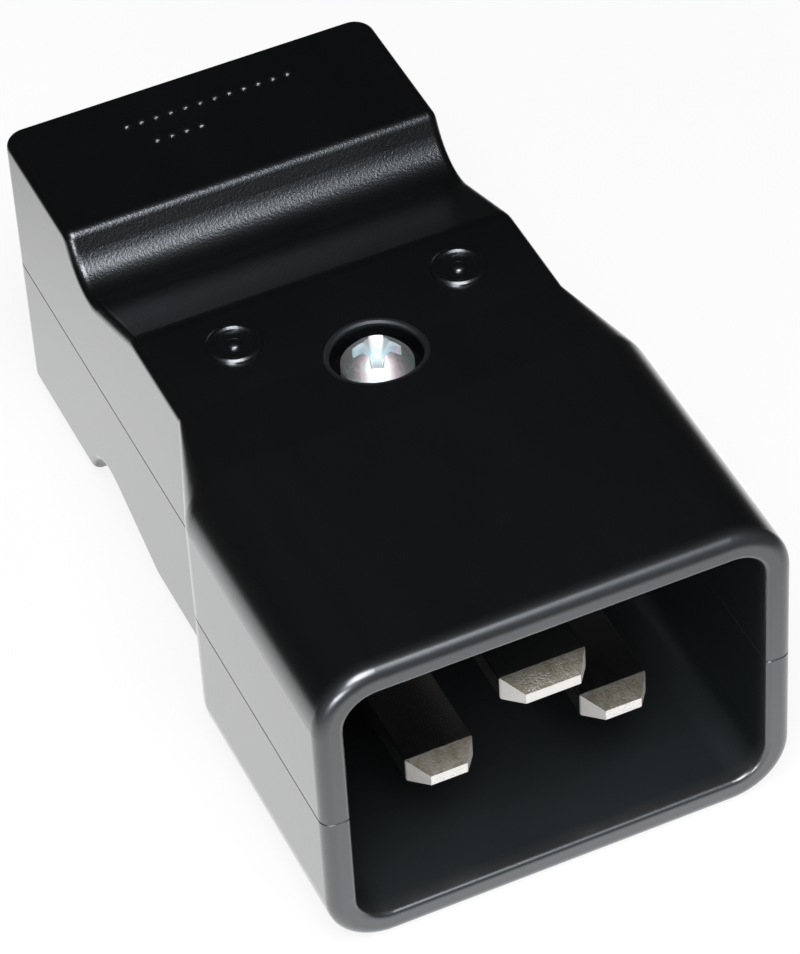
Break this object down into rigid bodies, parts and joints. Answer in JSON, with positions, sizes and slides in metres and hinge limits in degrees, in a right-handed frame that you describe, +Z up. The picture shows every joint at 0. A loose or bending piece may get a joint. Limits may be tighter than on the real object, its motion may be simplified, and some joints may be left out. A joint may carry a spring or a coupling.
{
  "type": "iec in-line plug",
  "caption": "Rewirable in-line power plug: split moulded case with a finger groove, flat pins in a rectangular shroud, screw terminals inside and a round cord entry behind.",
  "frame": {"origin": "middle of the box's underside, on the surface that the plug lies on", "axes": "+X to the neutral pin's side, -Y the way the pins face, +Y towards the cord entry, +Z up towards the earth pin"},
  "size_m": [0.0344, 0.062, 0.0255],
  "materials": {
    "case_plastic": "black, satin, fine spark texture",
    "carrier_plastic": "black, smooth moulded",
    "pin_plating": "nickel plated, lightly brushed",
    "clamp_steel": "zinc plated",
    "screw_zinc": "bright zinc plated",
    "insert_brass": "turned"
  },
  "bodies": {
    "root": {"upper_shell": "case_plastic", "lower_shell": "case_plastic", "pin_carrier": "carrier_plastic", "line_pin": "pin_plating", "neutral_pin": "pin_plating", "earth_pin": "pin_plating", "line_clamp": "clamp_steel", "neutral_clamp": "clamp_steel", "earth_clamp": "clamp_steel", "terminal_screws": "screw_zinc", "case_screw": "screw_zinc", "case_insert": "insert_brass", "cord_bar": "carrier_plastic", "cord_bar_screws": "screw_zinc"}
  },
  "joints": []
}
